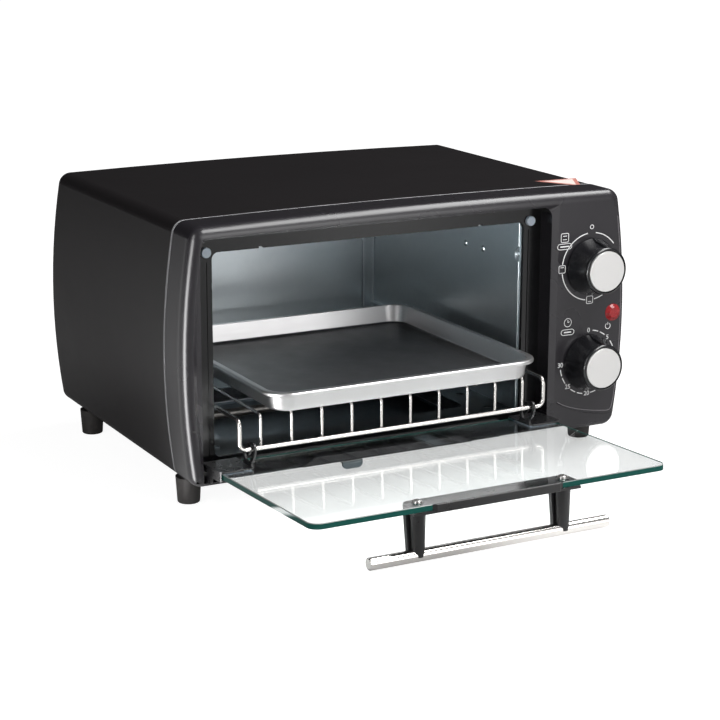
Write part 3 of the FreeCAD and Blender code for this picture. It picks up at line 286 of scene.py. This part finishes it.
def foot_rubber():
    rubber = Finish("foot_rubber", (0.020, 0.017, 0.016), 0.6)
    rubber.tint(rubber.span(rubber.noise(60.0), 0.0, 0.6), (0.030, 0.027, 0.026))
    rubber.gloss(rubber.noise(300.0), 0.5, 0.68)
    rubber.bump(rubber.noise(1400.0, 3.0), 0.00003, 0.5)
    return rubber.material


def soft_pad():
    pad = Finish("soft_pad", (0.36, 0.40, 0.46), 0.35, Subsurface_Weight=0.1)
    pad.tint(pad.span(pad.noise(300.0), 0.0, 0.5), (0.44, 0.48, 0.53))
    pad.gloss(pad.noise(500.0), 0.3, 0.45)
    return pad.material


def heater_sheath():
    sheath = Finish("heater_sheath", (0.16, 0.155, 0.15), 0.45, metallic=0.9)
    sheath.tint(sheath.span(sheath.noise(40.0, stretch=(0.3, 1, 1)), 0.0, 0.9), (0.24, 0.225, 0.21))
    sheath.gloss(sheath.noise(300.0), 0.36, 0.55)
    sheath.bump(sheath.noise(900.0), 0.00002, 0.5)
    return sheath.material


def ceramic():
    body = Finish("ceramic", (0.80, 0.77, 0.70), 0.35)
    body.tint(body.span(body.noise(200.0), 0.0, 0.6), (0.70, 0.66, 0.58))
    body.bump(body.noise(900.0), 0.00002, 0.4)
    return body.material


def lens_red():
    """Moulded red lens; the facets are in its shape."""
    lens = Finish("lens_red", (0.22, 0.006, 0.008), 0.16, IOR=1.5)
    lens.tint(lens.span(lens.cells(900.0), 0.0, 0.8), (0.36, 0.022, 0.026))
    lens.bump(lens.cells(900.0), 0.00012, 0.6)
    return lens.material


def lead_sleeve():
    sleeve = Finish("lead_sleeve", (0.70, 0.68, 0.62), 0.8)
    sleeve.tint(sleeve.span(sleeve.noise(1500.0), 0.0, 0.8), (0.55, 0.53, 0.48))
    sleeve.bump(sleeve.noise(2500.0), 0.00006, 0.6)
    return sleeve.material


def black_plastic():
    plastic = Finish("black_plastic", (0.014, 0.014, 0.014), 0.42)
    plastic.gloss(plastic.noise(200.0), 0.38, 0.5)
    plastic.bump(plastic.noise(2200.0), 0.000015, 0.4)
    return plastic.material


def bright_wire():
    """Nickel-plated wire, with slight waviness in the plate."""
    wire = Finish("bright_wire", (0.62, 0.60, 0.58), 0.16, metallic=1.0)
    wire.tint(wire.span(wire.noise(70.0), 0.0, 0.4), (0.54, 0.52, 0.50))
    wire.gloss(wire.noise(250.0), 0.12, 0.26)
    wire.bump(wire.noise(500.0), 0.00002, 0.3)
    return wire.material


def handle_chrome():
    """Bright rod with a fine brushed line along it."""
    chrome = Finish("handle_chrome", (0.80, 0.775, 0.75), 0.12, metallic=1.0)
    chrome.tint(chrome.span(chrome.noise(60.0, stretch=(0.1, 1, 1)), 0.0, 0.5), (0.74, 0.71, 0.68))
    chrome.gloss(chrome.noise(900.0, stretch=(0.02, 1, 1)), 0.12, 0.14)
    return chrome.material


def tray_metal(coat_top):
    """Bright pressed sheet; the floor, up to coat_top, has a dark non-stick coat inside."""
    tray = Finish("tray_metal", (0.55, 0.545, 0.55), 0.38, metallic=1.0)
    tray.tint(tray.span(tray.noise(20.0), 0.0, 0.3), (0.50, 0.49, 0.48))
    split = tray.nodes.new("ShaderNodeSeparateXYZ")
    tray.links.new(tray.nodes["Texture Coordinate"].outputs["Normal"], split.inputs["Vector"])
    upward = tray.span(split.outputs["Z"], 0.0, 1.0, 0.30, 0.55)
    inside = tray.both(upward, tray.span(tray.along("Z", coat_top, coat_top + 0.4 * MM), 1.0, 0.0))
    tray.tint(inside, (0.042, 0.042, 0.044))
    tray.links.new(tray.span(inside, 1.0, 0.0), tray.shader.inputs["Metallic"])
    rough = tray.span(tray.noise(400.0, stretch=(0.1, 1, 1)), 0.36, 0.40, 0.3, 0.7)
    coat_rough = tray.span(tray.noise(60.0), 0.34, 0.40, 0.3, 0.7)
    tray.links.new(tray.mixed(inside, rough, coat_rough), tray.shader.inputs["Roughness"])
    return tray.material


def door_glass(pane_normal):
    """Clear pane with dark green edges that lets lamplight through."""
    glass = Finish("door_glass", (0.98, 0.997, 0.992), 0.0, IOR=1.45, Specular_IOR_Level=0.05)
    nodes, links = glass.nodes, glass.links
    normal = nodes.new("ShaderNodeTexCoord").outputs["Normal"]
    square = nodes.new("ShaderNodeVectorMath")
    square.operation = "DOT_PRODUCT"
    square.inputs[1].default_value = pane_normal
    links.new(normal, square.inputs[0])
    facing = nodes.new("ShaderNodeMath")
    facing.operation = "ABSOLUTE"
    links.new(square.outputs["Value"], facing.inputs[0])
    edge = glass.span(facing.outputs["Value"], 1.0, 0.0, 0.55, 0.95)
    glass.tint(edge, (0.012, 0.075, 0.062))
    links.new(glass.span(edge, 1.0, 0.0), glass.shader.inputs["Transmission Weight"])
    clear = nodes.new("ShaderNodeBsdfTransparent")
    clear.inputs["Color"].default_value = (0.90, 0.94, 0.93, 1.0)
    rays = nodes.new("ShaderNodeLightPath")
    blend = nodes.new("ShaderNodeMixShader")
    links.new(rays.outputs["Is Shadow Ray"], blend.inputs["Fac"])
    links.new(glass.shader.outputs["BSDF"], blend.inputs[1])
    links.new(clear.outputs["BSDF"], blend.inputs[2])
    links.new(blend.outputs["Shader"], nodes["Material Output"].inputs["Surface"])
    return glass.material


def dial_white():
    ink = Finish("dial_white", (0.80, 0.80, 0.80), 0.45)
    ink.tint(ink.span(ink.noise(2500.0), 0.0, 0.4), (0.68, 0.68, 0.68))
    return ink.material


def label_paper(name, colour, wear):
    """A printed colour, worn towards white in places."""
    paper = Finish(name, colour, 0.5)
    paper.tint(paper.span(paper.noise(400.0), 0.0, wear), (0.8, 0.76, 0.72))
    return paper.material


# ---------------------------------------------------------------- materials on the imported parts
FINISHES = {
    "shell": shell_paint(),
    "frame": frame_plastic(),
    "handle": handle_plastic(),
    "knob": knob_plastic(),
    "disc": knob_disc(),
    "cavity": zinc_sheet("cavity_sheet", (0.82, 0.86, 0.88), (0.69, 0.75, 0.78), 0.30, 0.33, 0.12),
    # painted shade: the cavity floor and crumb tray get a darkened copy of the cavity's zinc, standing
    # in for the shade under the tray and rack
    "cavity_shaded": zinc_sheet("cavity_floor", (0.22, 0.25, 0.27), (0.15, 0.18, 0.20), 0.30, 0.36, 0.10),
    "sheet": zinc_sheet("galvanised_sheet", (0.60, 0.62, 0.64), (0.42, 0.44, 0.46), 0.30, 0.42, 0.9),
    "plated": plated_steel(),
    "bracket": bracket_paint(),
    "foot": foot_rubber(),
    "pad": soft_pad(),
    "heater": heater_sheath(),
    "ceramic": ceramic(),
    "lens": lens_red(),
    "sleeve": lead_sleeve(),
    "black": black_plastic(),
    "wire": bright_wire(),
    "chrome": handle_chrome(),
    "tray": tray_metal(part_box("baking_tray")[0].z + TRAY_COAT_DEPTH),
    "glass": door_glass((0.0, math.sin(GLASS_TILT), math.cos(GLASS_TILT))),
    "ink": dial_white(),
    # painted highlight: the pale line along the control panel's ledges
    "ledge_highlight": label_paper("panel_highlight_paint", (0.16, 0.15, 0.16), 0.02),
    "label_red": label_paper("label_red", (0.42, 0.10, 0.07), 0.25),
    "label_pale": label_paper("label_pale", (0.72, 0.60, 0.55), 0.25),
}

FINISH_BY_SLOT = {
    "shell_paint": "shell",
    "frame_plastic": "frame",
    "knob_plastic": "knob",
    "galvanised_sheet": "sheet",
    "cavity_sheet": "cavity",
    "black_plastic": "black",
    "plated_steel": "plated",
    "bracket_paint": "bracket",
    "foot_rubber": "foot",
    "soft_pad": "pad",
    "heater_sheath": "heater",
    "ceramic": "ceramic",
    "lens_red": "lens",
    "lead_sleeve": "sleeve",
    "door_glass": "glass",
    "handle_chrome": "chrome",
    "rack_wire": "wire",
    "tray_metal": "tray",
    "knob_disc": "disc",
}
# the crumb tray and cavity floor take the darkened zinc, which is painted shade
FINISH_BY_NODE = {"handle_bracket": "handle", "crumb_tray": "cavity_shaded", "cavity_floor": "cavity_shaded"}


def dress_nodes():
    """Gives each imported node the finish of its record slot, unless it has one of its own."""
    for subpart in frame["record"]["subparts"]:
        node = frame["nodes"][subpart["node"]]
        key = FINISH_BY_NODE.get(subpart["node"], FINISH_BY_SLOT[subpart["material_slot"]])
        node.data.materials.clear()
        node.data.materials.append(FINISHES[key])


dress_nodes()


# ---------------------------------------------------------------- print on the control panel, and a painted highlight along its ledges
INK_THICKNESS = 0.06 * MM
PANEL_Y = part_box("front_bezel")[0].y
LINE = 0.75 * MM
FINE_LINE = 0.45 * MM
SIDE_MIDDLE_Z = 104.0       # millimetres, as are the points of the painted ledge highlight
PANEL_MARGIN = 5.6


def knob_centre(name):
    low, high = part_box(name + "_knob_disc")
    return Vector(((low.x + high.x) / 2, (low.z + high.z) / 2))


class Print:
    """Flat marks on the panel, drawn as strokes in X and Z and given the ink's thickness."""

    def __init__(self):
        self.mesh = bmesh.new()

    def stroke(self, points, width, closed=False):
        points = [Vector(p) for p in points]
        count = len(points)
        left, right = [], []
        for i, point in enumerate(points):
            before = points[i - 1] if closed or i > 0 else point
            after = points[(i + 1) % count] if closed or i < count - 1 else point
            into = (point - before).normalized() if point != before else (after - point).normalized()
            out = (after - point).normalized() if after != point else into
            along = (into + out).normalized()
            across = Vector((-along.y, along.x))
            reach = width / 2 / max(0.35, across.dot(Vector((-out.y, out.x))))
            left.append(self.corner(point + across * reach))
            right.append(self.corner(point - across * reach))
        for i in range(count if closed else count - 1):
            j = (i + 1) % count
            self.mesh.faces.new((left[i], left[j], right[j], right[i]))

    def corner(self, place):
        return self.mesh.verts.new((place.x, PANEL_Y, place.y))

    def arc(self, centre, radius, start, end, width, steps=48):
        """An arc by clock angles in degrees: 0 is up, and they run clockwise."""
        count = max(3, int(steps * abs(end - start) / 180) + 2)
        angles = [math.radians(start + (end - start) * i / (count - 1)) for i in range(count)]
        self.stroke([centre + Vector((math.sin(a), math.cos(a))) * radius for a in angles], width)

    def ring(self, centre, radius, width):
        angles = [math.tau * i / 40 for i in range(40)]
        self.stroke([centre + Vector((math.cos(a), math.sin(a))) * radius for a in angles],
                    width, closed=True)

    def box(self, centre, wide, high, corner, width):
        points = []
        for quarter in range(4):
            sign_x = 1 if quarter in (0, 3) else -1
            sign_z = 1 if quarter in (0, 1) else -1
            hub = centre + Vector((sign_x * (wide / 2 - corner), sign_z * (high / 2 - corner)))
            for step in range(6):
                a = math.radians(90 * quarter + 18 * step)
                points.append(hub + Vector((math.cos(a), math.sin(a))) * corner)
        self.stroke(points, width, closed=True)

    def line(self, start, end, width):
        self.stroke([start, end], width)

    def number(self, centre, text, size):
        """Digits centred on a point, cut from Blender's own font."""
        curve = bpy.data.curves.new("digits", "FONT")
        curve.body = text
        curve.size = size
        curve.align_x = "CENTER"
        curve.align_y = "CENTER"
        curve.offset = size * 0.012
        letters = bpy.data.objects.new("digits", curve)
        bpy.context.scene.collection.objects.link(letters)
        bpy.context.view_layer.update()
        flat = bpy.data.meshes.new_from_object(letters)
        upright = Matrix.Rotation(math.pi / 2, 4, "X")
        flat.transform(Matrix.Translation((centre.x, PANEL_Y, centre.y)) @ upright)
        self.mesh.from_mesh(flat)
        bpy.data.objects.remove(letters)
        bpy.data.meshes.remove(flat)

    def finish(self, name, finish="ink"):
        faces = list(self.mesh.faces)
        bmesh.ops.recalc_face_normals(self.mesh, faces=faces)
        for face in faces:
            if face.normal.y > 0:
                face.normal_flip()
        grown = bmesh.ops.extrude_face_region(self.mesh, geom=faces)
        front = [v for v in grown["geom"] if isinstance(v, bmesh.types.BMVert)]
        bmesh.ops.translate(self.mesh, verts=front, vec=(0, -INK_THICKNESS, 0))
        bmesh.ops.recalc_face_normals(self.mesh, faces=list(self.mesh.faces))
        data = bpy.data.meshes.new(name)
        self.mesh.to_mesh(data)
        self.mesh.free()
        piece = bpy.data.objects.new(name, data)
        bpy.context.scene.collection.objects.link(piece)
        data.materials.append(FINISHES[finish])
        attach(piece, "chassis")
        return piece


def element_icon(art, centre, size, bars):
    """A small oven outline with a bar for each element that is on."""
    art.box(centre, size, size, size * 0.16, FINE_LINE)
    for height in bars:
        half = size * 0.26
        place = centre + Vector((0, height * size))
        art.line(place - Vector((half, 0)), place + Vector((half, 0)), FINE_LINE)


def function_print():
    centre = knob_centre("function")
    art = Print()
    radius = 25.6 * MM
    for start, end in ((8, 52), (97, 171), (189, 262), (278, 352)):
        art.arc(centre, radius, start, end, LINE)
    art.ring(centre + Vector((0, 30.0 * MM)), 1.5 * MM, FINE_LINE)
    icon = 5.6 * MM
    element_icon(art, centre + Vector((radius, 0)), icon, (0.24, -0.24))
    element_icon(art, centre + Vector((0, -radius)), icon, (-0.24,))
    element_icon(art, centre + Vector((-radius, 0)), icon, (0.24,))
    label = centre + Vector((-23.9 * MM, 23.7 * MM))
    element_icon(art, label, 6.6 * MM, (0.2, -0.2))
    art.box(label - Vector((0, 6.6 * MM)), 12.5 * MM, 4.2 * MM, 2.05 * MM, FINE_LINE)
    art.line(label + Vector((-3.8, -6.6)) * MM, label + Vector((3.8, -6.6)) * MM, 2 * FINE_LINE)
    art.finish("function_dial_print")


def timer_print():
    centre = knob_centre("timer")
    art = Print()
    radius = 24.6 * MM
    degrees_per_minute = 9.0
    for minutes in range(0, 35, 5):
        angle = math.radians(minutes * degrees_per_minute)
        place = centre + Vector((math.sin(angle), math.cos(angle))) * radius
        art.number(place, str(minutes), 5.0 * MM)
        if minutes < 30:
            middle = minutes * degrees_per_minute
            art.arc(centre, radius, middle + 9, middle + 21, LINE)
            art.arc(centre, radius, middle + 25, middle + 37, LINE)
    clock = centre + Vector((-19.0 * MM, 32.6 * MM))
    art.ring(clock, 3.2 * MM, FINE_LINE)
    art.line(clock, clock + Vector((0, 2.0 * MM)), FINE_LINE)
    art.line(clock, clock + Vector((1.5 * MM, 0.6 * MM)), FINE_LINE)
    label = clock - Vector((0, 7.4 * MM))
    art.box(label, 11.5 * MM, 4.2 * MM, 2.05 * MM, FINE_LINE)
    art.line(label - Vector((3.2 * MM, 0)), label + Vector((3.2 * MM, 0)), 2 * FINE_LINE)
    power = centre + Vector((17.5 * MM, 26.2 * MM))
    art.arc(power, 2.2 * MM, 35, 325, FINE_LINE)
    art.line(power + Vector((0, 0.8 * MM)), power + Vector((0, 2.9 * MM)), FINE_LINE)
    art.finish("timer_dial_print")


def side_curve(z):
    """The casing's half width in millimetres at height z: its sides bulge most at SIDE_MIDDLE_Z."""
    above = z > SIDE_MIDDLE_Z
    reach, bulge = (100.6, 9.4) if above else (85.0, 7.0)
    return 183.0 - bulge * ((z - SIDE_MIDDLE_Z) / reach) ** 2


def panel_outline():
    """A pale line just inside the control panel's curved lower edge and its right edge: a painted
    highlight standing in for the light caught by the sunken panel's ledges.
    """
    art = Print()
    lower_edge = [(122.5, 44.0), (127, 41.4), (133, 38.9), (140, 36.7), (147, 35.0), (155, 33.5),
                  (163, 32.4), (168, 31.9), (170.5, 32.3), (172.0, 34.2)]
    heights = [lower_edge[-1][1] + 6.2 * step for step in range(1, 25)]
    right_edge = [(side_curve(z) - PANEL_MARGIN, z) for z in heights]
    art.stroke([(x * MM, z * MM) for x, z in lower_edge + right_edge], FINE_LINE)
    art.finish("panel_outline", "ledge_highlight")


function_print()
timer_print()
panel_outline()


# ---------------------------------------------------------------- blank label on the top
LABEL_MIDDLE = Vector((0.154, -0.0835))
LABEL_SIDE = 38.0 * MM
LABEL_BORDER = 3.2 * MM
LABEL_TURN = math.radians(152)
TOP_CROWN = 1.8 * MM


def top_height(x):
    """Height of the casing's crowned top at x."""
    low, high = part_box("outer_shell")
    half = (high.x - low.x) / 2
    return high.z - TOP_CROWN * (x / half) ** 2


def label_plate(name, reach, low, high, finish):
    """A three-cornered plate lying on the crowned top, its corners this far from the middle."""
    mesh = bmesh.new()
    rings = []
    for z in (low, high):
        corners = []
        for i in range(3):
            angle = LABEL_TURN + math.tau * i / 3
            x = LABEL_MIDDLE.x + reach * math.cos(angle)
            y = LABEL_MIDDLE.y + reach * math.sin(angle)
            corners.append(mesh.verts.new((x, y, top_height(x) + z)))
        rings.append(corners)
    mesh.faces.new(rings[1])
    mesh.faces.new(rings[0][::-1])
    for i in range(3):
        j = (i + 1) % 3
        mesh.faces.new((rings[0][i], rings[0][j], rings[1][j], rings[1][i]))
    bmesh.ops.recalc_face_normals(mesh, faces=list(mesh.faces))
    data = bpy.data.meshes.new(name)
    mesh.to_mesh(data)
    mesh.free()
    piece = bpy.data.objects.new(name, data)
    bpy.context.scene.collection.objects.link(piece)
    data.materials.append(FINISHES[finish])
    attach(piece, "chassis")


def blank_label():
    reach = LABEL_SIDE / math.sqrt(3)
    label_plate("label_border", reach, 0.02 * MM, 0.12 * MM, "label_red")
    label_plate("label_field", reach - 2 * LABEL_BORDER, 0.12 * MM, 0.17 * MM, "label_pale")


blank_label()


# ---------------------------------------------------------------- studio
# Light levels of the floor: seen near and far, in reflections in front and behind, the wedge
# that draws the bright line down the frame's left ridge, and what it gives to matt surfaces.
FLOOR_NEAR, FLOOR_FAR = 0.92, 1.0
FLOOR_FRONT, FLOOR_BEHIND = 0.72, 0.95
FLOOR_WEDGE = 20.0
FLOOR_BOUNCE = 0.25
SKY_FRONT, SKY_BEHIND = 0.35, 0.03
SKY_SEEN = 1.25

# Where the reflected floor changes: the distance "side" is measured along the level direction
# SIDE_X, SIDE_Y, which is square to the line of sight once the casing's side or front mirrors it.
SIDE_X, SIDE_Y = 0.882, 0.471
FRAME_CORNER_X, FRAME_CORNER_Y = -0.176, -0.126


class Backdrop:
    """Nodes that give one light level to what the camera sees and others to reflections."""

    def __init__(self, tree):
        self.nodes = tree.nodes
        self.links = tree.links
        self.nodes.clear()
        self.rays = self.nodes.new("ShaderNodeLightPath")

    def add(self, kind):
        return self.nodes.new("ShaderNode" + kind)

    def ramp(self, value, start, end, low, high):
        node = self.add("MapRange")
        node.interpolation_type = "SMOOTHSTEP"
        node.inputs["From Min"].default_value = start
        node.inputs["From Max"].default_value = end
        node.inputs["To Min"].default_value = low
        node.inputs["To Max"].default_value = high
        self.links.new(value, node.inputs["Value"])
        return node.outputs["Result"]

    def maths(self, operation, first, second):
        node = self.add("Math")
        node.operation = operation
        for socket, value in zip(node.inputs, (first, second)):
            if isinstance(value, float):
                socket.default_value = value
            else:
                self.links.new(value, socket)
        return node.outputs["Value"]

    def choose(self, factor, without, with_it):
        """A number that is without at factor 0 and with_it at factor 1."""
        node = self.add("Mix")
        self.links.new(factor, node.inputs["Factor"])
        for socket, value in ((node.inputs["A"], without), (node.inputs["B"], with_it)):
            if isinstance(value, float):
                socket.default_value = value
            else:
                self.links.new(value, socket)
        return node.outputs["Result"]


def open_floor_level(drop, x, y):
    """The floor in reflections: ahead of the oven, and behind it, where only the left is bright."""
    side = drop.maths("ADD", drop.maths("MULTIPLY", x, SIDE_X), drop.maths("MULTIPLY", y, SIDE_Y))
    ahead = drop.maths("ADD", drop.ramp(side, -0.19, -0.12, 0.25, 1.0),
                       drop.ramp(side, -0.06, 0.09, 0.0, -0.55))
    behind = drop.ramp(side, -0.215, -0.180, 1.0, 0.05)
    return drop.choose(drop.ramp(y, -0.20, -0.10, 0.0, 1.0),
                       drop.maths("MULTIPLY", ahead, FLOOR_FRONT),
                       drop.maths("MULTIPLY", behind, FLOOR_BEHIND))


def wedge_level(drop, x, y):
    """A bright wedge of floor that runs out to the left from the frame's left corner."""
    along = drop.maths("SUBTRACT", FRAME_CORNER_X, x)
    slope = drop.maths("DIVIDE", drop.maths("SUBTRACT", FRAME_CORNER_Y, y), along)
    wedge = drop.maths("MULTIPLY", drop.ramp(slope, 0.18, 0.42, 0.0, 1.0),
                       drop.ramp(slope, 0.62, 1.0, 1.0, 0.0))
    return drop.maths("MULTIPLY", wedge, drop.ramp(along, 0.0, 0.03, 0.0, FLOOR_WEDGE))


def floor_material():
    """Even white where it is seen, dimmer in reflections from behind the oven."""
    material = bpy.data.materials.new("pale_floor")
    material.use_nodes = True
    drop = Backdrop(material.node_tree)
    place = drop.add("TexCoord").outputs["Object"]
    split = drop.add("SeparateXYZ")
    drop.links.new(place, split.inputs["Vector"])
    x, y = split.outputs["X"], split.outputs["Y"]
    far = drop.add("VectorMath")
    far.operation = "LENGTH"
    drop.links.new(place, far.inputs[0])
    seen = drop.ramp(far.outputs["Value"], 0.45, 0.9, FLOOR_NEAR, FLOOR_FAR)
    mirror = drop.maths("ADD", open_floor_level(drop, x, y), wedge_level(drop, x, y))
    level = drop.choose(drop.rays.outputs["Is Glossy Ray"], FLOOR_BOUNCE, mirror)
    direct = drop.maths("MAXIMUM", drop.rays.outputs["Is Camera Ray"],
                        drop.rays.outputs["Is Transmission Ray"])
    level = drop.choose(direct, level, seen)
    glow = drop.add("Emission")
    drop.links.new(level, glow.inputs["Strength"])
    matt = drop.add("BsdfDiffuse")
    matt.inputs["Color"].default_value = (0.30, 0.30, 0.30, 1.0)
    both = drop.add("AddShader")
    drop.links.new(glow.outputs["Emission"], both.inputs[0])
    drop.links.new(matt.outputs["BSDF"], both.inputs[1])
    drop.links.new(both.outputs["Shader"], drop.add("OutputMaterial").inputs["Surface"])
    return material


def make_floor():
    bpy.ops.mesh.primitive_plane_add(size=40.0, location=(0, 0, -0.0002))
    floor = bpy.context.active_object
    floor.name = "studio_floor"
    floor.data.materials.append(floor_material())


def area_light(name, place, target, size, power, colour=(1, 1, 1)):
    data = bpy.data.lights.new(name, "AREA")
    data.shape = "RECTANGLE"
    data.size, data.size_y = size
    data.energy = power
    data.color = colour
    lamp = bpy.data.objects.new(name, data)
    bpy.context.scene.collection.objects.link(lamp)
    aim = (Vector(target) - Vector(place)).to_track_quat("-Z", "Y")
    lamp.matrix_world = Matrix.Translation(place) @ aim.to_matrix().to_4x4()


def make_world():
    """White where it is seen, and for light a soft sky that is dim behind the oven."""
    world = bpy.data.worlds.new("studio")
    bpy.context.scene.world = world
    world.use_nodes = True
    sky = Backdrop(world.node_tree)
    split = sky.add("SeparateXYZ")
    sky.links.new(sky.add("TexCoord").outputs["Generated"], split.inputs["Vector"])
    level = sky.ramp(split.outputs["Y"], -0.35, 0.35, SKY_FRONT, SKY_BEHIND)
    level = sky.choose(sky.rays.outputs["Is Camera Ray"], level, SKY_SEEN)
    light = sky.add("Background")
    sky.links.new(level, light.inputs["Strength"])
    sky.links.new(light.outputs["Background"], sky.add("OutputWorld").inputs["Surface"])


def make_studio():
    make_floor()
    make_world()
    area_light("left_strip", (-1.5, -0.9, 0.75), (0, -0.05, 0.1), (0.5, 1.1), 10)
    area_light("oven_light", (0.45, -1.35, 0.27), (-0.08, 0.12, 0.15), (0.6, 0.6), 2.8)
    area_light("top_softbox", (0.50, -0.36, 1.10), (0, -0.1, 0.2), (1.3, 0.45), 20)
    area_light("front_fill", (0.6, -2.2, 0.9), (0, 0, 0.1), (1.6, 1.2), 10)


make_studio()
bpy.context.scene.view_settings.view_transform = "Standard"
